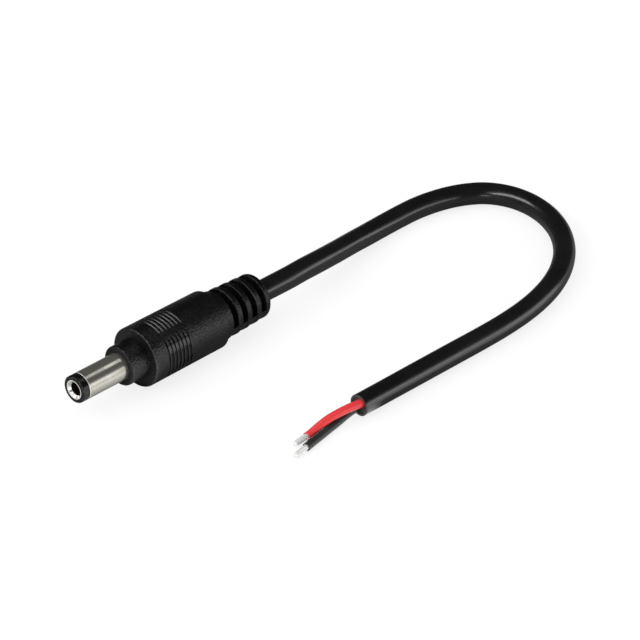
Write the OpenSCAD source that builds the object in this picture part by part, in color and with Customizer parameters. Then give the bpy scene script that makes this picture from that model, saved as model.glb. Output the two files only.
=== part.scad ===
// Moulded dc barrel plug, 5.5 mm outside and 2.5 mm inside, on a short two-core lead.
// The plug's axis is X and its tip points to +X. The origin is on the axis, at the
// shoulder where the bare metal sleeve meets the moulding. +Z is up.

/* [Barrel] */
// Outer diameter of the metal sleeve and of the insulator's nose
sleeve_d = 5.5; // [5.0:0.1:6.3]
// Length that stands out of the moulding, from shoulder to tip
barrel_len = 11.3; // [9.5:0.1:14]
// Length of the black insulator nose in front of the sleeve
nose_len = 1.6; // [1:0.1:2.5]
// Radius of the rounding on the nose's front edge
nose_round = 0.3; // [0.1:0.05:0.5]
// Radius of the rounding on the sleeve's front edge
sleeve_edge_round = 0.1; // [0.05:0.05:0.2]
// Wall thickness of the metal sleeve
sleeve_wall = 0.45; // [0.3:0.05:0.5]

/* [Centre contact] */
// Bore that takes the jack's 2.5 mm centre pin
pin_bore_d = 2.6; // [2.0:0.1:2.8]
// Outer diameter of the contact tube
contact_d = 3.9; // [3.7:0.1:4.2]
// Depth of the bore from the tip
bore_depth = 10; // [8:0.5:12]
// Diameter of the mouth, where its taper begins
mouth_d = 3.5; // [3.2:0.1:3.6]
// Depth of the tapered mouth
mouth_depth = 0.55; // [0.3:0.05:1]

/* [Moulding] */
// Diameter of the collar behind the barrel
collar_d = 8; // [7.4:0.1:9]
// Length of the collar
collar_len = 4.3; // [3:0.1:6]
// Diameter of the grip body at its front
body_front_d = 12; // [11:0.1:13]
// Diameter of the grip body at its back
body_back_d = 11.8; // [11:0.1:13]
// Length of the grip body
body_len = 19; // [17:0.5:24]
// Rounding of the collar's front edge
collar_round = 0.5; // [0.2:0.1:0.8]
// Rounding of the grip body's front edge
body_front_round = 0.4; // [0.2:0.1:0.8]
// Rounding of the grip body's back edge
body_back_round = 0.3; // [0.1:0.1:0.8]
// Turn of the mould's draw direction about the plug's axis, from +Y towards +Z
draw_angle = 54; // [0:1:90]

/* [Grip grooves] */
// Number of ring grooves
groove_count = 7; // [3:1:9]
// Distance from the grip body's front to the first groove
groove_start = 3.55; // [2:0.05:5]
// Distance between grooves
groove_pitch = 0.92; // [0.7:0.02:1.2]
// Width of a groove's mouth
groove_w = 0.46; // [0.3:0.02:0.6]
// Depth of a groove
groove_depth = 0.24; // [0.15:0.01:0.35]
// Width of the plain bands that interrupt the grooves along the draw direction
groove_band_w = 1.3; // [0.8:0.1:3]

/* [Strain relief] */
// Number of slots
slot_count = 4; // [3:1:5]
// Length of a slot along the axis
slot_len = 1.4; // [1:0.1:1.6]
// Length of a ring between two slots
ring_len = 1.15; // [0.9:0.05:1.4]
// Length of the first ring, behind the grip body
first_ring_len = 2.05; // [1.5:0.05:3]
// Length of the last ring, at the cable's exit
last_ring_len = 1.35; // [1.1:0.05:2]
// Diameter of the rings at the front of the taper
relief_front_d = 10.1; // [9.5:0.1:10.8]
// Diameter of the rings at the back of the taper
relief_back_d = 9; // [8:0.1:9.4]
// Rounding of the rings' edges
ring_round = 0.18; // [0.1:0.02:0.3]
// Rounding of the last ring's back edge
end_round = 0.7; // [0.3:0.1:0.9]
// Diameter of the sleeve of plastic that is left inside the slots
relief_core_d = 6.2; // [5.6:0.1:7]
// Drop from the rings down to the side webs
web_drop = 0.12; // [0.05:0.01:0.2]
// Angle that each side web takes of the round, at its slots
web_angle = 55; // [30:1:70]

/* [Cable] */
// Diameter of the round cable
cable_d = 4.4; // [4:0.1:4.6]
// Diameter of one insulated lead
lead_d = 1.64; // [1.4:0.02:1.64]
// Diameter of a lead's tinned strands
strands_d = 1.2; // [0.8:0.05:1.25]
// Length of the tinned strands
strands_len = 3.4; // [2:0.1:5]
// Number of outer strands that show on a tinned end
strand_lobes = 6; // [5:1:8]
// Depth of the hollows between those strands
strand_lobe_depth = 0.1; // [0.04:0.02:0.14]

/* [Hidden] */

$fn = 96;
eps = 0.01;

// Colours
black_pvc = [0.05, 0.05, 0.055];
black_nylon = [0.03, 0.03, 0.03];
nickel = [0.75, 0.72, 0.67];
solder_grey = [0.7, 0.7, 0.72];
lead_red = [0.8, 0.05, 0.06];
lead_black = [0.08, 0.09, 0.08];
tin = [0.9, 0.9, 0.88];

// Barrel, stations along X
sleeve_front = barrel_len - nose_len;
sleeve_bore_d = sleeve_d - 2 * sleeve_wall;

// The sleeve's root, held inside the collar
neck_d = sleeve_d - 0.5;
neck_len = 1.2;
flange_d = sleeve_d + 0.9;
flange_len = 1;
root_back = -(neck_len + flange_len);
lug_len = 8.6;
lug_w = 2.6;
lug_d = sleeve_d - 0.2;
lug_back = root_back - lug_len;

// Insulator and contact, inside the root
insulator_back = root_back - 0.8;
contact_back = insulator_back - 0.6;
post_d = 2.4;
post_len = 4.4;
post_back = contact_back - post_len;
post_flat_len = 2.6;

// Leads inside the moulding
inner_lead_z = 0.86;
inner_lead_back = -21;
bare_len = 2.4;
red_front = post_back + post_flat_len - 0.3;
black_front = lug_back + bare_len - 0.2;
solder_r = 0.9;
solder_under = 0.06;
post_flat_z = inner_lead_z - strands_d / 2 - solder_under;

// Moulding, stations along X
body_front = -collar_len;
body_back = body_front - body_len;
slot_pitch = slot_len + ring_len;
relief_len = first_ring_len + slot_count * slot_pitch - ring_len + last_ring_len;
relief_back = body_back - relief_len;
function slot_front(i) = body_back - first_ring_len - i * slot_pitch;
function relief_r(x) = (relief_front_d
    + (relief_back_d - relief_front_d) * (body_back - x) / relief_len) / 2;
function body_r(x) = (body_front_d
    + (body_back_d - body_front_d) * (body_front - x) / body_len) / 2;

// The surface that the plug and its cable lie on
floor_z = -max(body_front_d, body_back_d) / 2;
cable_z = floor_z + cable_d / 2;
lead_z = floor_z + lead_d / 2;

// Route of the cable's centreline, from the strain relief to the cut end
cable_route = [
    [relief_back, 0, 0],
    [-40, 0, 0],
    [-44.5, -0.1, -0.1],
    [-49.2, -0.6, -0.4],
    [-54.3, -1.3, -1],
    [-59.6, -2.3, -1.8],
    [-65, -3.4, -2.6],
    [-70.2, -4.3, -3.3],
    [-75.2, -4.9, -3.7],
    [-80, -5.1, cable_z],
    [-84.4, -5, cable_z],
    [-88.5, -4.4, cable_z],
    [-92.3, -3.3, cable_z],
    [-95.6, -1.7, cable_z],
    [-98.4, 0.5, cable_z],
    [-100.4, 3.5, cable_z],
    [-101.5, 7.1, cable_z],
    [-101.6, 11.4, cable_z],
    [-100.5, 16.2, cable_z],
    [-97.9, 21.4, cable_z],
    [-93.7, 26.4, cable_z],
    [-88.5, 30.4, cable_z],
    [-83, 33.2, cable_z],
    [-77.5, 35, cable_z],
    [-72, 36.1, cable_z],
    [-66, 36.7, cable_z],
    [-60, 36.9, cable_z],
    [-52, 36.9, cable_z],
    [-44, 36.9, cable_z],
    [-36, 36.9, cable_z],
    [-26.4, 36.9, cable_z],
];

// Routes of the two leads, from the jacket's cut end to the end of their insulation
red_route = [
    [-26.4, 37.38, -3.11],
    [-26, 37.38, -3.11],
    [-24, 37.12, -3.02],
    [-21.4, 36.72, -3.14],
    [-18.9, 36.18, -3.58],
    [-16.7, 35.85, -4.42],
    [-15.2, 35.82, -5.01],
    [-14.2, 35.91, lead_z],
    [-13.6, 35.97, lead_z],
];
black_route = [
    [-26.4, 36.42, -4.49],
    [-26, 36.42, -4.49],
    [-24.5, 36.5, -4.57],
    [-22.8, 36.66, -4.78],
    [-21.3, 36.86, -4.97],
    [-19.6, 37.05, -5.13],
    [-17.9, 37.27, lead_z],
    [-14.2, 37.9, lead_z],
    [-11, 38.5, lead_z],
];

// ---- vectors and swept tubes ----

function unit(v) = v / norm(v);
function tangent(p, i) = unit(p[min(i + 1, len(p) - 1)] - p[max(i - 1, 0)]);
function side_of(t) = unit(cross(t, [0, 0, 1]));
function ring_points(p, i, r, n) =
    let (t = tangent(p, i), s = side_of(t), u = cross(s, t))
    [for (k = [0:n - 1]) p[i] + r * (cos(360 * k / n) * s + sin(360 * k / n) * u)];

// A tube of n sides and radius r along the route p
module swept_tube(p, r, n) {
    rings = len(p);
    points = [for (i = [0:rings - 1]) each ring_points(p, i, r, n)];
    wall = [for (i = [0:rings - 2], k = [0:n - 1])
        let (a = i * n + k, b = i * n + (k + 1) % n)
        each [[a, a + n, b], [b, a + n, b + n]]];
    start_cap = [for (k = [0:n - 1]) k];
    end_cap = [for (k = [n - 1:-1:0]) (rings - 1) * n + k];
    polyhedron(points, concat([start_cap], wall, [end_cap]), convexity = 6);
}

// ---- turned shapes about the X axis ----

// Turns a section drawn as [radius, x] about the plug's axis
module turned() {
    rotate([0, 90, 0]) rotate_extrude() children();
}

// A cylinder on the X axis from x0 back to x1
module bar(x0, x1, d) {
    translate([x1, 0, 0]) rotate([0, 90, 0]) cylinder(d = d, h = x0 - x1);
}

// Section of a disc of radius r from x0 back to x1, with rounded edges
module disc_section(r, x0, x1, front_round, back_round) {
    square_x = x1 + back_round;
    translate([0, square_x]) square([r, x0 - front_round - square_x]);
    translate([0, x1]) square([r - back_round, back_round + eps]);
    translate([0, x0 - front_round - eps]) square([r - front_round, front_round + eps]);
    translate([r - back_round, square_x]) circle(back_round);
    translate([r - front_round, x0 - front_round]) circle(front_round);
}

// ---- moulded body ----

module collar() {
    turned() disc_section(collar_d / 2, 0, body_front - eps, collar_round, eps);
}

// Grip body: a slow taper between two rounded edges
module grip() {
    front_r = body_r(body_front - body_front_round);
    back_r = body_r(body_back + body_back_round);
    turned() {
        polygon([
            [0, body_back],
            [back_r - body_back_round, body_back],
            [back_r, body_back + body_back_round],
            [front_r, body_front - body_front_round],
            [front_r - body_front_round, body_front],
            [0, body_front],
        ]);
        translate([front_r - body_front_round, body_front - body_front_round])
            circle(body_front_round);
        translate([back_r - body_back_round, body_back + body_back_round])
            circle(body_back_round);
    }
}

// One V groove, as the ring of metal that forms it in the mould
module groove_ring(x) {
    r = body_r(x);
    turned() polygon([
        [r - groove_depth, x],
        [r + groove_depth, x + groove_w],
        [r + groove_depth, x - groove_w],
    ]);
}

// All grooves, interrupted by the two plain bands on the draw direction
module grooves() {
    difference() {
        for (i = [0:groove_count - 1]) groove_ring(body_front - groove_start - i * groove_pitch);
        rotate([draw_angle, 0, 0])
            translate([body_back, -body_front_d, -groove_band_w / 2])
                cube([body_len, 2 * body_front_d, groove_band_w]);
    }
}

// The taper that the side webs leave between the slots, without its rings
module web_cone() {
    turned() polygon([
        [0, relief_back + end_round],
        [relief_r(relief_back + end_round) - web_drop, relief_back + end_round],
        [relief_r(body_back) - web_drop, body_back + eps],
        [0, body_back + eps],
    ]);
}

// The space swept by the mould's side cores, which pull along the draw direction
module side_cores() {
    reach = cos(web_angle / 2);
    front = slot_front(0);
    back = slot_front(slot_count - 1) - slot_len;
    rotate([draw_angle, 0, 0])
        rotate([90, 0, 0])
            linear_extrude(height = 2 * relief_front_d, center = true)
                polygon([
                    [front, relief_r(front) * reach],
                    [back, relief_r(back) * reach],
                    [back, -relief_r(back) * reach],
                    [front, -relief_r(front) * reach],
                ]);
}

// Rings of the strain relief, in front of, between and behind the slots
module relief_rings() {
    for (i = [0:slot_count]) {
        is_first = i == 0;
        is_last = i == slot_count;
        front = is_first ? body_back + eps : slot_front(i) + ring_len;
        back = is_last ? relief_back : slot_front(i);
        edge = is_first ? eps : ring_round;
        turned() disc_section(relief_r((front + back) / 2), front, back, edge,
            is_last ? end_round : ring_round);
    }
}

module strain_relief() {
    bar(body_back + eps, relief_back + end_round, relief_core_d);
    difference() {
        web_cone();
        side_cores();
    }
    relief_rings();
}

// What the moulding closes round: the sleeve's root, the contact's tail and the joints
module held_inside() {
    root_solid();
    bar(root_back + eps, insulator_back, sleeve_bore_d);
    bar(insulator_back + eps, contact_back, contact_d);
    lug();
    post();
    centre_solder_shape();
    sleeve_solder_shape();
    inner_lead(1, red_front);
    inner_lead(-1, black_front);
}

module moulded_body() {
    color(black_pvc) difference() {
        union() {
            collar();
            grip();
            strain_relief();
        }
        grooves();
        held_inside();
    }
}

// ---- barrel ----

// The sleeve's root as a filled shape: neck and flange
module root_solid() {
    bar(eps, -neck_len, neck_d);
    bar(-neck_len + eps, root_back, flange_d);
}

// Solder lug: a curved strip that runs on behind the flange
module lug() {
    intersection() {
        difference() {
            bar(root_back + eps, lug_back, lug_d);
            bar(root_back + 2 * eps, lug_back - eps, sleeve_bore_d);
        }
        translate([lug_back, -lug_w / 2, -sleeve_d])
            cube([lug_len + 1, lug_w, sleeve_d]);
    }
}

module outer_sleeve() {
    color(nickel) {
        difference() {
            union() {
                turned() disc_section(sleeve_d / 2, sleeve_front, 0, sleeve_edge_round, eps);
                root_solid();
            }
            bar(sleeve_front + 1, root_back - 1, sleeve_bore_d);
        }
        lug();
    }
}

// Insulator: a nose in front of the sleeve and a thin tube inside it
module insulator() {
    color(black_nylon) difference() {
        union() {
            turned() disc_section(sleeve_d / 2, barrel_len, sleeve_front, nose_round, eps);
            bar(sleeve_front + eps, insulator_back, sleeve_bore_d);
        }
        bar(barrel_len + 1, insulator_back - 1, contact_d);
    }
}

// Solder post behind the contact tube, with a flat for the wire
module post() {
    difference() {
        bar(contact_back + eps, post_back, post_d);
        translate([post_back - eps, -post_d, post_flat_z])
            cube([post_flat_len, 2 * post_d, post_d]);
    }
}

module centre_contact() {
    bore_end = barrel_len - bore_depth;
    color(nickel) {
        difference() {
            bar(barrel_len, contact_back, contact_d);
            bar(barrel_len + 1, bore_end, pin_bore_d);
            turned() polygon([
                [0, barrel_len + eps],
                [mouth_d / 2, barrel_len + eps],
                [mouth_d / 2, barrel_len],
                [pin_bore_d / 2, barrel_len - mouth_depth],
                [0, barrel_len - mouth_depth],
            ]);
        }
        post();
    }
}

// ---- joints and leads inside the moulding ----

// One insulated lead with its bared strands; side is 1 above the axis and -1 below it
module inner_lead(side, front) {
    translate([0, 0, side * inner_lead_z]) {
        bar(front - bare_len, inner_lead_back, lead_d);
        bar(front, front - bare_len - eps, strands_d);
    }
}

// Solder round the red lead's strands, on the post's end
module centre_solder_shape() {
    translate([red_front - bare_len / 2, 0, inner_lead_z]) sphere(solder_r);
}

// Solder between the black lead's strands and the lug
module sleeve_solder_shape() {
    top = -inner_lead_z;
    bottom = -sleeve_bore_d / 2;
    translate([black_front - bare_len / 2, 0, bottom])
        cylinder(d1 = lug_w * 0.8, d2 = strands_d + 0.3, h = top - bottom);
}

module centre_solder() {
    color(solder_grey) difference() {
        centre_solder_shape();
        inner_lead(1, red_front);
        post();
    }
}

module sleeve_solder() {
    color(solder_grey) difference() {
        sleeve_solder_shape();
        inner_lead(-1, black_front);
        lug();
    }
}

module red_lead_plug_end() {
    color(lead_red) inner_lead(1, red_front);
}

module black_lead_plug_end() {
    color(lead_black) inner_lead(-1, black_front);
}

// ---- cable ----

module cable_jacket() {
    color(black_pvc) swept_tube(cable_route, cable_d / 2, 12);
}

module red_lead() {
    color(lead_red) swept_tube(red_route, lead_d / 2, 8);
}

module black_lead() {
    color(lead_black) swept_tube(black_route, lead_d / 2, 8);
}

// Outline of a bundle of strands: a circle with one shallow lobe for each outer strand
function bundle_outline(d, lobes, depth) =
    [for (a = [0:360 / (lobes * 6):359]) (d / 2 - depth * abs(sin(a * lobes / 2))) * [cos(a), sin(a)]];

// Tinned strands at the end of a route
module tinned_end(route) {
    last = len(route) - 1;
    t = tangent(route, last);
    translate(route[last])
        rotate([0, 0, atan2(t[1], t[0])])
            rotate([0, 90 - asin(t[2]), 0])
                linear_extrude(height = strands_len)
                    polygon(bundle_outline(strands_d, strand_lobes, strand_lobe_depth));
}

module red_tinned_end() {
    color(tin) tinned_end(red_route);
}

module black_tinned_end() {
    color(tin) tinned_end(black_route);
}

moulded_body();
outer_sleeve();
insulator();
centre_contact();
centre_solder();
sleeve_solder();
red_lead_plug_end();
black_lead_plug_end();
cable_jacket();
red_lead();
black_lead();
red_tinned_end();
black_tinned_end();
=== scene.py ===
from math import ceil, cos, exp, pi, radians, sin, tau

import bpy
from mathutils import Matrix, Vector


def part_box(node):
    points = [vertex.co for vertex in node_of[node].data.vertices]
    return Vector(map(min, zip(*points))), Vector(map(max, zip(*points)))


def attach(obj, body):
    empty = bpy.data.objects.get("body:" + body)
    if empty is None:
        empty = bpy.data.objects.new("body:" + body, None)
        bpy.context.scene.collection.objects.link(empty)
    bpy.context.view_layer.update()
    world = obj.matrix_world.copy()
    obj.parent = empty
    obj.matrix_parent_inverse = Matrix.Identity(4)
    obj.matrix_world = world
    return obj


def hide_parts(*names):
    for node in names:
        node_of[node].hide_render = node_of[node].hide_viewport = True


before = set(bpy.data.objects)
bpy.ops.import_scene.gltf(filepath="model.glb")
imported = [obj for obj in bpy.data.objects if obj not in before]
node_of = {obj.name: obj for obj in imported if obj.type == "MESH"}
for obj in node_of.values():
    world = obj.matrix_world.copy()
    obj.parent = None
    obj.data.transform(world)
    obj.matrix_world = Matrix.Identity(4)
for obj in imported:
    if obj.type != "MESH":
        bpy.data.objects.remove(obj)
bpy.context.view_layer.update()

scene = bpy.context.scene

# ---- sizes, in metres ----

MM = 0.001
CABLE_R = 2.2 * MM
CABLE_START = (-35.3, 0, 0)
JACKET_WALL = 0.52 * MM
JACKET_LAY = 38 * MM
JACKET_SIDES = 56
LEAD_R = 0.82 * MM
LEAD_SIDES = 40
LEAD_ROOT = 2.2 * MM
SAG_REACH = 3.4 * MM
SAG_DIRECTION = 2.3  # radians
STRANDS_R = 0.6 * MM
STRANDS_LEN = 3.4 * MM
STRAND_R = 0.24 * MM
STRAND_COUNT = 7
STRAND_SIDES = 14
STRAND_STEPS = 14
STRAND_TWIST = 0.18 / MM  # radians
STRAND_ROOT = 0.35 * MM
PIN_BORE_R = 1.3 * MM
FLOOR_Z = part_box("moulded_body")[0].z
SLEEVE_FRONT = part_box("outer_sleeve")[1].x
CONTACT_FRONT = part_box("centre_contact")[1].x

# The body's skin is a cone from the front X and radius to the back ones.
BODY_FRONT_X, BODY_FRONT_R = -4.3 * MM, 6.0 * MM
BODY_BACK_X, BODY_BACK_R = -23.3 * MM, 5.9 * MM
GROOVES_FROM_X, GROOVES_TO_X = -13.6 * MM, -7.6 * MM
# Where two masks fade: the Z of the body's lower part, below which the groove walls get
# painted shade, and the radius round the sleeve's root.
LOWER_Z = (3.4 * MM, 4.2 * MM)
ROOT_R = (3.6 * MM, 4.2 * MM)

# ---- the cable's and the leads' centrelines, as in the part's source ----

CABLE_ROUTE = [
    (-35.75, 0, 0), (-40, 0, 0), (-44.5, -0.1, -0.1), (-49.2, -0.6, -0.4), (-54.3, -1.3, -1),
    (-59.6, -2.3, -1.8), (-65, -3.4, -2.6), (-70.2, -4.3, -3.3), (-75.2, -4.9, -3.7),
    (-80, -5.1, -3.8), (-84.4, -5, -3.8), (-88.5, -4.4, -3.8), (-92.3, -3.3, -3.8),
    (-95.6, -1.7, -3.8), (-98.4, 0.5, -3.8), (-100.4, 3.5, -3.8), (-101.5, 7.1, -3.8),
    (-101.6, 11.4, -3.8), (-100.5, 16.2, -3.8), (-97.9, 21.4, -3.8), (-93.7, 26.4, -3.8),
    (-88.5, 30.4, -3.8), (-83, 33.2, -3.8), (-77.5, 35, -3.8), (-72, 36.1, -3.8),
    (-66, 36.7, -3.8), (-60, 36.9, -3.8), (-52, 36.9, -3.8), (-44, 36.9, -3.8),
    (-36, 36.9, -3.8), (-26.4, 36.9, -3.8),
]
RED_ROUTE = [
    (-26.4, 37.38, -3.11), (-26, 37.38, -3.11), (-24, 37.12, -3.02), (-21.4, 36.72, -3.14),
    (-18.9, 36.18, -3.58), (-16.7, 35.85, -4.42), (-15.2, 35.82, -5.01),
    (-14.2, 35.91, -5.18), (-13.6, 35.97, -5.18),
]
BLACK_ROUTE = [
    (-26.4, 36.42, -4.49), (-26, 36.42, -4.49), (-24.5, 36.5, -4.57), (-22.8, 36.66, -4.78),
    (-21.3, 36.86, -4.97), (-19.6, 37.05, -5.13), (-17.9, 37.27, -5.18),
    (-14.2, 37.9, -5.18), (-11, 38.5, -5.18),
]


def metres(route):
    """A route in millimetres, as vectors in metres."""
    return [Vector(p) * MM for p in route]


def smooth_route(points, step):
    """A smooth line through the points, with a point about every step."""
    p = [points[0] * 2 - points[1], *points, points[-1] * 2 - points[-2]]
    line = []
    for i in range(1, len(p) - 2):
        a, b, c, d = p[i - 1:i + 3]
        n = max(1, ceil((c - b).length / step))
        start = (c - a) * ((c - b).length / (c - a).length)
        end = (d - b) * ((c - b).length / (d - b).length)
        for k in range(n):
            t = k / n
            line.append(b * (2 * t**3 - 3 * t**2 + 1) + start * (t**3 - 2 * t**2 + t)
                        + c * (3 * t**2 - 2 * t**3) + end * (t**3 - t**2))
    return line + [points[-1]]


def frames_along(line):
    """(point, side, up, distance) along the line, turning as little as possible."""
    out = []
    side = None
    run = 0.0
    for i, p in enumerate(line):
        t = (line[min(i + 1, len(line) - 1)] - line[max(i - 1, 0)]).normalized()
        if side is None:
            side = t.cross(Vector((0, 0, 1))).normalized()
        side = (side - t * side.dot(t)).normalized()
        if i:
            run += (p - line[i - 1]).length
        out.append((p, side, t.cross(side), run))
    return out


# ---- camera ----

CAMERA_AZIMUTH = 135
CAMERA_ELEVATION = 32.2
CAMERA_DISTANCE = 1.05
CAMERA_LENS = 316.97
AIM = Vector((-29.83, 23.28, 7.35)) * MM


def direction(azimuth, elevation):
    """The way from the aim to a camera or lamp. Azimuth 0 is at -Y and 90 at +X."""
    a, e = radians(azimuth), radians(elevation)
    return Vector((sin(a) * cos(e), -cos(a) * cos(e), sin(e)))


def face_aim(thing, aim, back, distance):
    """Puts a camera or lamp at the distance from the aim, the way back, and turns it to face it."""
    thing.location = aim + back * distance
    thing.rotation_mode = "QUATERNION"
    thing.rotation_quaternion = (-back).to_track_quat("-Z", "Y")


def place_camera():
    data = bpy.data.cameras.new("camera")
    data.sensor_width = 36
    data.lens = CAMERA_LENS
    data.clip_start, data.clip_end = 0.01, 20
    cam = bpy.data.objects.new("camera", data)
    scene.collection.objects.link(cam)
    back = direction(CAMERA_AZIMUTH, CAMERA_ELEVATION)
    face_aim(cam, AIM, back, CAMERA_DISTANCE)
    scene.camera = cam


place_camera()

# ---- node helpers ----


def fill(tree, node, inputs):
    """Each input takes a value, or another node's output to link."""
    for key, value in inputs.items():
        if isinstance(value, bpy.types.NodeSocket):
            tree.links.new(value, node.inputs[key])
        else:
            node.inputs[key].default_value = value


def put(tree, kind, inputs=None, **properties):
    """Adds a node, sets its properties and fills its inputs."""
    made = tree.nodes.new(kind)
    for key, value in properties.items():
        setattr(made, key, value)
    fill(tree, made, inputs or {})
    return made


def calc(tree, operation, a, b=0.0, c=0.0):
    return put(tree, "ShaderNodeMath", {0: a, 1: b, 2: c}, operation=operation).outputs[0]


def ramp(tree, value, low, high, to_low=0.0, to_high=1.0):
    """value, taken from low..high to to_low..to_high and clamped."""
    return put(tree, "ShaderNodeMapRange", {
        "Value": value, "From Min": low, "From Max": high, "To Min": to_low, "To Max": to_high,
    }).outputs[0]


def noise(tree, where, scale, detail=2.0, roughness=0.5, distortion=0.0):
    return put(tree, "ShaderNodeTexNoise", {
        "Vector": where, "Scale": scale, "Detail": detail, "Roughness": roughness,
        "Distortion": distortion,
    }).outputs[0]


def stretched(tree, where, scale):
    return put(tree, "ShaderNodeMapping", {"Vector": where, "Scale": scale}).outputs[0]


def mix_colour(tree, mask, a, b):
    """Colour a where the mask is 0 and b where it is 1. A plain colour is three numbers."""
    a, b = ((*c, 1) if isinstance(c, tuple) else c for c in (a, b))
    return put(tree, "ShaderNodeMix", {0: mask, 6: a, 7: b}, data_type="RGBA").outputs[2]


def new_group(name, inputs, outputs):
    """A node group with inputs of (name, kind, default) and float outputs, and its end nodes."""
    tree = bpy.data.node_groups.new(name, "ShaderNodeTree")
    for label, kind, value in inputs:
        made = tree.interface.new_socket(label, in_out="INPUT", socket_type="NodeSocket" + kind)
        if value is not None:
            made.default_value = value
    for label in outputs:
        tree.interface.new_socket(label, in_out="OUTPUT", socket_type="NodeSocketFloat")
    return tree, put(tree, "NodeGroupInput"), put(tree, "NodeGroupOutput")


def use_group(tree, group, inputs):
    return put(tree, "ShaderNodeGroup", inputs, node_tree=group)


# ---- shared effects ----


def make_grain_group():
    """The fine pitted grain that an eroded mould leaves on a plastic."""
    tree, given, out = new_group("mould grain", [
        ("Vector", "Vector", None), ("Grain size", "Float", 0.24 * MM), ("Pitting", "Float", 0.5),
    ], ["Height", "Mask"])
    scale = calc(tree, "DIVIDE", 1.0, given.outputs["Grain size"])
    fine = noise(tree, given.outputs["Vector"], scale, 1.5, 0.5)
    coarse = noise(tree, given.outputs["Vector"], calc(tree, "MULTIPLY", scale, 0.7), 2.0)
    pits = ramp(tree, coarse, 0.4, 0.62)
    height = calc(tree, "MULTIPLY_ADD", pits, given.outputs["Pitting"], fine)
    tree.links.new(height, out.inputs["Height"])
    tree.links.new(ramp(tree, fine, 0.35, 0.65), out.inputs["Mask"])
    return tree


def make_handling_group():
    """Slow smudges and dulling from handling, with a few specks of dust."""
    tree, given, out = new_group("handling", [
        ("Vector", "Vector", None), ("Patch size", "Float", 6 * MM),
        ("Speck size", "Float", 0.6 * MM), ("Specks", "Float", 0.5),
    ], ["Smudge", "Speck"])
    patch = calc(tree, "DIVIDE", 1.0, given.outputs["Patch size"])
    smudge = noise(tree, given.outputs["Vector"], patch, 4.0, 0.55, 0.6)
    speck_scale = calc(tree, "DIVIDE", 1.0, given.outputs["Speck size"])
    cells = put(tree, "ShaderNodeTexVoronoi", {
        "Vector": given.outputs["Vector"], "Scale": speck_scale, "Randomness": 1.0,
    })
    dot = ramp(tree, cells.outputs["Distance"], 0.05, 0.12, 1.0, 0.0)
    chance = put(tree, "ShaderNodeSeparateColor", {"Color": cells.outputs["Color"]}).outputs[0]
    kept = calc(tree, "LESS_THAN", chance, calc(tree, "MULTIPLY", given.outputs["Specks"], 0.2))
    tree.links.new(ramp(tree, smudge, 0.35, 0.68), out.inputs["Smudge"])
    tree.links.new(calc(tree, "MULTIPLY", dot, kept), out.inputs["Speck"])
    return tree


def make_lines_group():
    """Fine scratches and drawing lines: noise pulled out long by the vector it is given."""
    tree, given, out = new_group("fine lines", [
        ("Vector", "Vector", None), ("Line width", "Float", 0.1 * MM), ("Share", "Float", 0.3),
    ], ["Height", "Scratch"])
    scale = calc(tree, "DIVIDE", 1.0, given.outputs["Line width"])
    lines = noise(tree, given.outputs["Vector"], scale)
    other = noise(tree, given.outputs["Vector"], calc(tree, "MULTIPLY", scale, 0.31),
                  distortion=0.3)
    low = calc(tree, "SUBTRACT", 0.72, calc(tree, "MULTIPLY", given.outputs["Share"], 0.25))
    scratch = ramp(tree, other, low, calc(tree, "ADD", low, 0.03))
    tree.links.new(lines, out.inputs["Height"])
    tree.links.new(scratch, out.inputs["Scratch"])
    return tree


GRAIN = make_grain_group()
HANDLING = make_handling_group()
LINES = make_lines_group()

# ---- materials ----


def new_material(name, metallic=0.0, **sockets):
    """A material, its tree and shader, and the Object and UV coordinates."""
    mat = bpy.data.materials.new(name)
    mat.use_nodes = True
    tree = mat.node_tree
    shader = tree.nodes["Principled BSDF"]
    shader.inputs["Metallic"].default_value = metallic
    for key, value in sockets.items():
        shader.inputs[key.replace("_", " ")].default_value = value
    where = put(tree, "ShaderNodeTexCoord")
    return mat, tree, shader, where.outputs["Object"], where.outputs["UV"]


def finish_shader(tree, shader, colour, roughness, height, depth):
    """Links the colour and the roughness, and the height as a bump of the given depth."""
    bump = put(tree, "ShaderNodeBump", {"Height": height, "Distance": depth, "Strength": 1.0})
    fill(tree, shader, {
        "Base Color": colour, "Roughness": roughness, "Normal": bump.outputs[0],
    })


def plug_place(tree, where):
    """Where a point is on the plug: its distance from the axis, its X and its Z."""
    place = put(tree, "ShaderNodeSeparateXYZ", {0: where})
    square = calc(tree, "MULTIPLY", place.outputs["Z"], place.outputs["Z"])
    square = calc(tree, "MULTIPLY_ADD", place.outputs["Y"], place.outputs["Y"], square)
    return calc(tree, "SQRT", square), place.outputs["X"], place.outputs["Z"]


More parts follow.
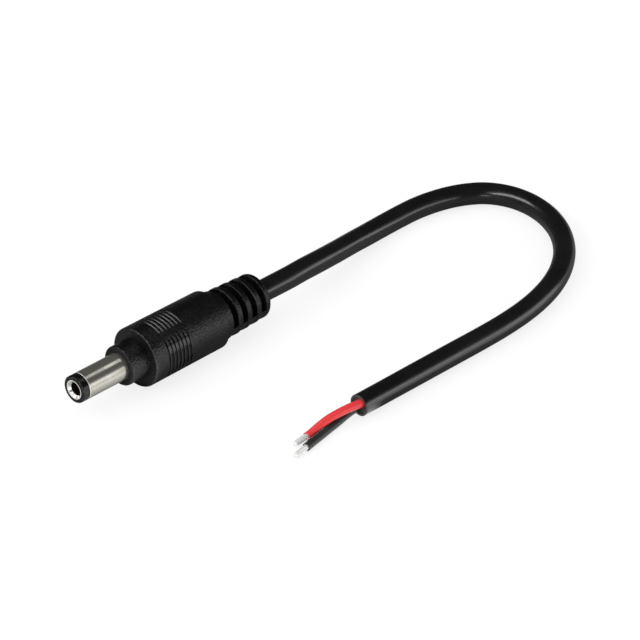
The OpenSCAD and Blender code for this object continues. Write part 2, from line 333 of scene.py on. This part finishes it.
def make_moulded_pvc():
    """Black plastic with the mould's grain, smudges and a little dust. The ring grooves are
    smooth. On the body's lower part their walls get painted shade, as near-black metal, and
    the ridges between them are polished.
    The collar's face is dull round the sleeve's root."""
    mat, tree, shader, where, _ = new_material("moulded_pvc", Specular_IOR_Level=0.8)
    out, along, height = plug_place(tree, where)
    skin = ramp(tree, along, BODY_BACK_X, BODY_FRONT_X, BODY_BACK_R, BODY_FRONT_R)
    under = calc(tree, "SUBTRACT", skin, out)
    grooved = calc(tree, "MULTIPLY", calc(tree, "GREATER_THAN", along, GROOVES_FROM_X),
                   calc(tree, "LESS_THAN", along, GROOVES_TO_X))
    wall = calc(tree, "MULTIPLY", grooved, ramp(tree, under, 0.03 * MM, 0.1 * MM))
    lower = ramp(tree, height, *LOWER_Z, 1.0, 0.0)
    # painted shade: on the lower part the groove walls turn to near-black metal and show dark
    shade = calc(tree, "MULTIPLY", wall, calc(tree, "MULTIPLY", lower, 0.92))
    tree.links.new(shade, shader.inputs["Metallic"])
    polished = calc(tree, "MULTIPLY", grooved, lower)
    bare = calc(tree, "MAXIMUM", wall, polished)
    root = calc(tree, "MULTIPLY", ramp(tree, along, -0.25 * MM, -0.15 * MM),
                ramp(tree, out, *ROOT_R, 1.0, 0.0))

    hand = use_group(tree, HANDLING, {"Vector": where, "Specks": 0.3})
    tone = mix_colour(tree, hand.outputs["Smudge"], (0.0015, 0.0015, 0.0016),
                      (0.003, 0.003, 0.0032))
    dusty = mix_colour(tree, calc(tree, "MULTIPLY", hand.outputs["Speck"], 0.5), tone,
                       (0.1, 0.1, 0.1))
    rough = calc(tree, "MULTIPLY_ADD", hand.outputs["Smudge"], 0.08, 0.27)
    rough = calc(tree, "MULTIPLY_ADD", hand.outputs["Speck"], 0.3, rough)
    rough = calc(tree, "MULTIPLY_ADD", polished, -0.12, rough)
    rough = calc(tree, "MULTIPLY_ADD", root, 0.55, rough)
    grain = use_group(tree, GRAIN, {
        "Vector": where, "Grain size": 0.29 * MM, "Pitting": 0.3,
    })
    relief = calc(tree, "MULTIPLY", grain.outputs["Height"], calc(tree, "SUBTRACT", 1.0, bare))
    finish_shader(tree, shader, dusty, rough, relief, 0.115 * MM)
    return mat


def make_gloss_nylon():
    """Turned black nylon, glossy, with faint marks running round it."""
    mat, tree, shader, where, _ = new_material("gloss_nylon")
    hand = use_group(tree, HANDLING, {"Vector": where, "Patch size": 2 * MM, "Specks": 0.2})
    around = stretched(tree, where, (1.0, 0.12, 0.12))
    lines = use_group(tree, LINES, {"Vector": around, "Line width": 0.06 * MM, "Share": 0.5})
    colour = mix_colour(tree, lines.outputs["Scratch"], (0.003, 0.003, 0.003),
                        (0.03, 0.03, 0.03))
    rough = calc(tree, "MULTIPLY_ADD", hand.outputs["Smudge"], 0.1, 0.1)
    rough = calc(tree, "MULTIPLY_ADD", lines.outputs["Scratch"], 0.25, rough)
    finish_shader(tree, shader, colour, rough, lines.outputs["Height"], 0.002 * MM)
    return mat


def make_nickel(name, colours, roughness, line_depth, marks, front, bore_r=0.0):
    """Nickel plate over drawn tube, its lines running along X. The edge at the front carries a
    painted highlight, near-white and less metallic, and a bore of radius bore_r gets painted
    shade, dark brown and rougher."""
    mat, tree, shader, where, _ = new_material(name)
    along = stretched(tree, where, (0.03, 1.0, 1.0))
    lines = use_group(tree, LINES, {"Vector": along, "Line width": 0.12 * MM, "Share": marks})
    hand = use_group(tree, HANDLING, {
        "Vector": where, "Patch size": 3 * MM, "Specks": marks * 0.6,
    })
    tone = mix_colour(tree, hand.outputs["Smudge"], colours[1], colours[0])
    tone = mix_colour(tree, calc(tree, "MULTIPLY", lines.outputs["Scratch"], 0.3), tone,
                      (0.35, 0.33, 0.3))
    rough = calc(tree, "MULTIPLY_ADD", hand.outputs["Smudge"], 0.08, roughness)
    rough = calc(tree, "MULTIPLY_ADD", lines.outputs["Scratch"], 0.15, rough)
    out, at_x, _ = plug_place(tree, where)
    # painted highlight: a near-white, less metallic band along the front edge
    rim_highlight = ramp(tree, at_x, front - 0.22 * MM, front - 0.15 * MM)
    tone = mix_colour(tree, rim_highlight, tone, (0.97, 0.96, 0.92))
    tree.links.new(calc(tree, "MULTIPLY_ADD", rim_highlight, -0.4, 0.88), shader.inputs["Metallic"])
    if bore_r:
        # painted shade in the bore: dark brown, and rougher
        dull = ramp(tree, out, bore_r + 0.01 * MM, bore_r + 0.06 * MM, 1.0, 0.0)
        tone = mix_colour(tree, dull, tone, (0.05, 0.028, 0.014))
        rough = calc(tree, "MULTIPLY_ADD", dull, 0.25, rough)
    finish_shader(tree, shader, tone, rough, lines.outputs["Height"], line_depth)
    return mat


def make_solder():
    mat, tree, shader, where, _ = new_material("solder", metallic=1.0)
    grain = use_group(tree, GRAIN, {"Vector": where, "Grain size": 0.5 * MM, "Pitting": 0.3})
    tone = mix_colour(tree, grain.outputs["Mask"], (0.55, 0.55, 0.57), (0.68, 0.68, 0.7))
    rough = calc(tree, "MULTIPLY_ADD", grain.outputs["Mask"], 0.15, 0.3)
    finish_shader(tree, shader, tone, rough, grain.outputs["Height"], 0.03 * MM)
    return mat


def make_extruded(name, colours, roughness, line_depth, **sockets):
    """An extruded plastic: faint die lines along its length, by its own UV map."""
    mat, tree, shader, where, uv = new_material(name, **sockets)
    along = stretched(tree, uv, (1.0, 0.02, 1.0))
    lines = use_group(tree, LINES, {"Vector": along, "Line width": 0.4 * MM, "Share": 0.1})
    grain = use_group(tree, GRAIN, {"Vector": where, "Grain size": 0.4 * MM, "Pitting": 0.2})
    hand = use_group(tree, HANDLING, {"Vector": where, "Patch size": 9 * MM, "Specks": 0.3})
    tone = mix_colour(tree, hand.outputs["Smudge"], *colours)
    rough = calc(tree, "MULTIPLY_ADD", hand.outputs["Smudge"], 0.07, roughness)
    rough = calc(tree, "MULTIPLY_ADD", grain.outputs["Mask"], 0.05, rough)
    height = calc(tree, "MULTIPLY_ADD", grain.outputs["Height"], 0.5, lines.outputs["Height"])
    finish_shader(tree, shader, tone, rough, height, line_depth)
    return mat


def make_jacket_cut():
    """The knife's cut through the jacket: matt, with the blade's marks across it."""
    mat, tree, shader, where, _ = new_material("jacket_cut")
    across = stretched(tree, where, (1.0, 1.0, 0.1))
    lines = use_group(tree, LINES, {"Vector": across, "Line width": 0.15 * MM, "Share": 0.6})
    marks = lines.outputs["Height"]
    tone = mix_colour(tree, marks, (0.03, 0.024, 0.023), (0.075, 0.062, 0.06))
    rough = calc(tree, "MULTIPLY_ADD", marks, 0.2, 0.5)
    finish_shader(tree, shader, tone, rough, marks, 0.03 * MM)
    return mat


def make_tinned():
    mat, tree, shader, where, _ = new_material("tinned_strands", metallic=0.25)
    grain = use_group(tree, GRAIN, {"Vector": where, "Grain size": 0.3 * MM, "Pitting": 0.3})
    tone = mix_colour(tree, grain.outputs["Mask"], (0.93, 0.93, 0.92), (0.97, 0.97, 0.96))
    rough = calc(tree, "MULTIPLY_ADD", grain.outputs["Mask"], 0.12, 0.18)
    finish_shader(tree, shader, tone, rough, grain.outputs["Height"], 0.003 * MM)
    return mat


MOULDED_PVC = make_moulded_pvc()
GLOSS_NYLON = make_gloss_nylon()
SLEEVE_NICKEL = make_nickel(
    "sleeve_nickel", ((0.54, 0.52, 0.46), (0.63, 0.61, 0.55)), roughness=0.17,
    line_depth=0.0015 * MM, marks=0.25, front=SLEEVE_FRONT)
CONTACT_NICKEL = make_nickel(
    "contact_nickel", ((0.78, 0.77, 0.74), (0.88, 0.87, 0.85)), roughness=0.2,
    line_depth=0.0004 * MM, marks=0.0, front=CONTACT_FRONT, bore_r=PIN_BORE_R)
SOLDER = make_solder()
CABLE_PVC = make_extruded(
    "cable_pvc", ((0.004, 0.004, 0.0042), (0.007, 0.007, 0.0073)), 0.25, 0.006 * MM,
    Specular_IOR_Level=0.85, Coat_Weight=0.75, Coat_Roughness=0.16)
RED_PVC = make_extruded(
    "red_insulation", ((0.85, 0.035, 0.042), (0.92, 0.05, 0.055)), 0.26, 0.006 * MM,
    Specular_IOR_Level=0.7)
BLACK_PVC = make_extruded(
    "black_insulation", ((0.02, 0.024, 0.021), (0.034, 0.04, 0.035)), 0.26, 0.006 * MM)
JACKET_CUT = make_jacket_cut()
TINNED = make_tinned()

for node, material in (
    ("moulded_body", MOULDED_PVC), ("outer_sleeve", SLEEVE_NICKEL), ("insulator", GLOSS_NYLON),
    ("centre_contact", CONTACT_NICKEL), ("centre_solder", SOLDER), ("sleeve_solder", SOLDER),
    ("red_lead_plug_end", RED_PVC), ("black_lead_plug_end", BLACK_PVC),
):
    for s in node_of[node].material_slots:
        s.material = material

# ---- cable, leads and strands ----


def new_piece(name, verts, faces, uvs, materials, face_materials):
    """A smooth mesh object. Each face has its UV corners and the number of its material."""
    mesh = bpy.data.meshes.new(name)
    mesh.from_pydata(verts, [], faces)
    layer = mesh.uv_layers.new(name="along")
    for m in materials:
        mesh.materials.append(m)
    for poly, corners, index in zip(mesh.polygons, uvs, face_materials):
        poly.use_smooth = True
        poly.material_index = index
        for loop in poly.loop_indices:
            layer.data[loop].uv = corners[loop - poly.loop_start]
    piece = bpy.data.objects.new(name, mesh)
    scene.collection.objects.link(piece)
    return piece


def select_only(*objects):
    bpy.ops.object.select_all(action="DESELECT")
    for o in objects:
        o.select_set(True)
    bpy.context.view_layer.objects.active = objects[0]


def swept(name, rings, sides, materials, cut_from=None):
    """A closed tube. Each ring is (point, side, up, distance, radius at an angle and distance).
    Rings from number cut_from on take the second material."""
    verts, faces, uvs, which = [], [], [], []
    for point, side, up, run, radius in rings:
        for k in range(sides):
            a = tau * k / sides
            verts.append(point + (side * cos(a) + up * sin(a)) * radius(a, run))
    girth = tau * CABLE_R
    for i in range(len(rings) - 1):
        for k in range(sides):
            n = (k + 1) % sides
            faces.append((i * sides + k, i * sides + n, (i + 1) * sides + n, (i + 1) * sides + k))
            u0, u1 = girth * k / sides, girth * (k + 1) / sides
            v0, v1 = rings[i][3], rings[i + 1][3]
            uvs.append([(u0, v0), (u1, v0), (u1, v1), (u0, v1)])
            which.append(0 if cut_from is None or i < cut_from else 1)
    for ring, flip in ((0, True), (len(rings) - 1, False)):
        hub = len(verts)
        verts.append(rings[ring][0].copy())
        for k in range(sides):
            n = (k + 1) % sides
            a, b = ring * sides + k, ring * sides + n
            faces.append((b, a, hub) if flip else (a, b, hub))
            v = rings[ring][3]
            uvs.append([(0, v), (girth / sides, v), (0, v)])
            which.append(0 if flip or cut_from is None else 1)
    return new_piece(name, verts, faces, uvs, materials, which)


def add_rings(rings, base, steps):
    """Rings at one end of a tube: each step is (distance on from the last point, radius)."""
    point, side, up, run, _ = base
    along = side.cross(up)
    for forward, r in steps:
        rings.append((point + along * forward, side, up, run + forward,
                      lambda a, s, r=r: r))


def make_jacket():
    """The cable's jacket, slightly uneven, with its wall turned in at the cut end."""
    line = smooth_route([Vector(CABLE_START) * MM, *metres(CABLE_ROUTE)], 0.6 * MM)

    def radius(a, run):
        lay = 0.004 * cos(2 * a - tau * run / JACKET_LAY)
        return CABLE_R * (0.994 + lay + 0.002 * sin(run / (7 * MM)))

    rings = [(p, s, u, run, radius) for p, s, u, run in frames_along(line)]
    wall = CABLE_R - JACKET_WALL
    last = rings.pop()
    body = len(rings)
    add_rings(rings, last, [
        (-0.06 * MM, CABLE_R * 0.994), (-0.01 * MM, CABLE_R * 0.985), (0, CABLE_R * 0.965),
        (0, wall + 0.1 * MM), (-0.01 * MM, wall + 0.03 * MM), (-0.07 * MM, wall),
        (-0.3 * MM, wall), (-0.32 * MM, wall - 0.04 * MM), (-0.32 * MM, wall * 0.4),
    ])
    materials = [CABLE_PVC, JACKET_CUT]
    return swept("cable_jacket_tube", rings, JACKET_SIDES, materials, body + 1), line


def make_lead(name, route, material, fullness, sag, peak):
    """An insulated lead, from inside the jacket to its cut end. It sags by sag times its radius
    where its X is peak."""
    start = metres(route)
    inside = start[0] - Vector((LEAD_ROOT, 0, 0))
    frames = frames_along(smooth_route([inside, *start], 0.25 * MM))
    middle = min(frames, key=lambda at: abs(at[0].x - peak))[3]

    def radius(a, run):
        bend = sag * exp(-((run - middle) / SAG_REACH) ** 2) * cos(a - SAG_DIRECTION)
        uneven = 0.008 * sin(run / (2.3 * MM)) + 0.006 * cos(a + run / (5 * MM))
        return LEAD_R * (fullness + bend + uneven)

    rings = [(p, s, u, run, radius) for p, s, u, run in frames]
    last = rings.pop()
    add_rings(rings, last, [
        (-0.05 * MM, LEAD_R), (-0.01 * MM, LEAD_R * 0.98), (0, LEAD_R * 0.945),
        (0.01 * MM, STRANDS_R * 1.12), (-0.04 * MM, STRANDS_R * 1.04),
        (-0.4 * MM, STRANDS_R * 1.02), (-0.41 * MM, STRANDS_R * 0.5),
    ])
    return swept(name, rings, LEAD_SIDES, [material]), last


def make_strands(name, end):
    """Tinned strands round a middle one, laid with a slow twist and cut off a little unevenly."""
    point, side, up, _, _ = end
    along = side.cross(up)
    pieces = []
    for s in range(STRAND_COUNT):
        out = 0 if s == STRAND_COUNT - 1 else STRANDS_R - STRAND_R
        reach = STRANDS_LEN - (0.02 + 0.12 * ((s * 5) % STRAND_COUNT) / STRAND_COUNT) * MM
        line = []
        for k in range(STRAND_STEPS + 1):
            t = -STRAND_ROOT + (reach + STRAND_ROOT) * k / STRAND_STEPS
            a = tau * s / (STRAND_COUNT - 1) + STRAND_TWIST * t
            line.append(point + along * t + (side * cos(a) + up * sin(a)) * out)
        rings = [(p, sd, u, run, lambda a, r: STRAND_R) for p, sd, u, run in frames_along(line)]
        add_rings(rings, rings[-1], [(0.02 * MM, STRAND_R * 0.8), (0.03 * MM, STRAND_R * 0.4)])
        label = name if s == 0 else "%s_strand_%d" % (name, s)
        pieces.append(swept(label, rings, STRAND_SIDES, [TINNED]))
    select_only(*pieces)
    bpy.ops.object.join()
    return pieces[0]


jacket, jacket_line = make_jacket()
red_lead, red_end = make_lead(
    "red_lead_wire", RED_ROUTE, RED_PVC, fullness=1.01, sag=0.22, peak=-18.2 * MM)
black_lead, black_end = make_lead(
    "black_lead_wire", BLACK_ROUTE, BLACK_PVC, fullness=0.99, sag=-0.1, peak=-20.6 * MM)
red_strands = make_strands("red_lead_strands", red_end)
black_strands = make_strands("black_lead_strands", black_end)
red_lead.visible_glossy = False  # or it draws a red line on the barrel

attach(jacket, "root")
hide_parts("cable_jacket")
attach(red_lead, "root")
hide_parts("red_lead")
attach(black_lead, "root")
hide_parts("black_lead")
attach(red_strands, "root")
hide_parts("red_tinned_end")
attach(black_strands, "root")
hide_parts("black_tinned_end")

# ---- floor, light and background ----

FLOOR_SIZE = 8
PAPER_TONE = (0.68, 0.72)
SEEN_TONE = -0.45
GLOSSY_TONE = -0.5
PAPER_GLOW = 0.79
WORLD_LEVEL = 0.03
DIFFUSE_FILL = 0.7
CARD_AIM = Vector((6.3, 1.3, 2.4)) * MM

# name, azimuth, elevation, distance, width, height, radiance, aim
LAMPS = [
    ("front_light", 216, 8, 1.2, 1.7, 0.34, 1.15, AIM),
    ("front_fill", 216, 14, 1.3, 1.7, 0.5, 0.25, AIM),
    ("barrel_card", 260, 52.4, 0.042, 0.014, 0.0095, 1.15, CARD_AIM),
    ("side_light", 72, 40, 1.1, 1.6, 0.24, 4.5, AIM),
    ("low_light", 132, 5, 1.2, 0.45, 0.16, 2.6, AIM),
]


def floor_pools(tree, where):
    """How bright glossy surfaces see the floor: a pool beside the barrel, which starts where the
    collar's reflections end, and one beyond the plug towards the camera."""
    place = put(tree, "ShaderNodeSeparateXYZ", {0: where})
    across = place.outputs["Y"]
    ahead = calc(tree, "MULTIPLY_ADD", across, 0.75, place.outputs["X"])
    beside = calc(tree, "MULTIPLY", ramp(tree, ahead, -2 * MM, 1 * MM),
                  ramp(tree, across, 0.0, 14 * MM, 0.12, 0.92))
    beside = calc(tree, "MULTIPLY", beside, ramp(tree, ahead, 40 * MM, 46 * MM, 1.0, 2.0))
    beyond = ramp(tree, across, 43 * MM, 50 * MM, 0.0, 0.75)
    return calc(tree, "MAXIMUM", beside, beyond)


def make_floor():
    """White paper. The camera sees part of its tone as glow, so that it is white and still takes
    the object's shadow, and glossy surfaces see it in pools."""
    bpy.ops.object.select_all(action="DESELECT")
    bpy.ops.mesh.primitive_plane_add(size=FLOOR_SIZE, location=(0, 0, FLOOR_Z))
    plane = bpy.context.object
    plane.name = "floor"
    bpy.ops.object.transform_apply(location=True)
    mat = bpy.data.materials.new("floor_paper")
    mat.use_nodes = True
    tree = mat.node_tree
    tree.nodes.clear()
    path = put(tree, "ShaderNodeLightPath").outputs
    seen = calc(tree, "MAXIMUM", path["Is Camera Ray"], path["Is Transmission Ray"])
    glossy = path["Is Glossy Ray"]
    where = put(tree, "ShaderNodeTexCoord").outputs["Object"]
    tone = ramp(tree, noise(tree, where, 30.0, 3.0), 0.3, 0.7, *PAPER_TONE)
    tone = calc(tree, "MULTIPLY_ADD", seen, SEEN_TONE, tone)
    tone = calc(tree, "MULTIPLY_ADD", glossy, GLOSSY_TONE, tone)
    paper = put(tree, "ShaderNodeBsdfDiffuse", {
        "Color": put(tree, "ShaderNodeCombineColor", {0: tone, 1: tone, 2: tone}).outputs[0],
    })
    pools = calc(tree, "MULTIPLY", glossy, floor_pools(tree, where))
    glow = put(tree, "ShaderNodeEmission", {
        "Strength": calc(tree, "MULTIPLY_ADD", seen, PAPER_GLOW, pools),
    })
    both = put(tree, "ShaderNodeAddShader", {0: paper.outputs[0], 1: glow.outputs[0]})
    put(tree, "ShaderNodeOutputMaterial", {"Surface": both.outputs[0]})
    plane.data.materials.append(mat)


def softbox(name, azimuth, elevation, distance, width, height, radiance, aim):
    """An area lamp of the given radiance that faces the aim."""
    data = bpy.data.lights.new(name, "AREA")
    data.shape = "RECTANGLE"
    data.size, data.size_y = width, height
    data.energy = radiance * pi * width * height
    lamp = bpy.data.objects.new(name, data)
    scene.collection.objects.link(lamp)
    face_aim(lamp, aim, direction(azimuth, elevation), distance)
    lamp.visible_camera = False


def make_world():
    """White to the camera, dim to reflections, and a plain fill for diffuse light."""
    world = bpy.data.worlds.new("studio")
    scene.world = world
    world.use_nodes = True
    tree = world.node_tree
    tree.nodes.clear()
    path = put(tree, "ShaderNodeLightPath").outputs
    level = calc(tree, "MULTIPLY_ADD", path["Is Camera Ray"], 1 - WORLD_LEVEL, WORLD_LEVEL)
    level = calc(tree, "MULTIPLY_ADD", path["Is Diffuse Ray"], DIFFUSE_FILL, level)
    back = put(tree, "ShaderNodeBackground", {"Color": (1, 1, 1, 1), "Strength": level})
    put(tree, "ShaderNodeOutputWorld", {"Surface": back.outputs[0]})


make_floor()
make_world()
for lamp_facts in LAMPS:
    softbox(*lamp_facts)

scene.view_settings.view_transform = "Standard"
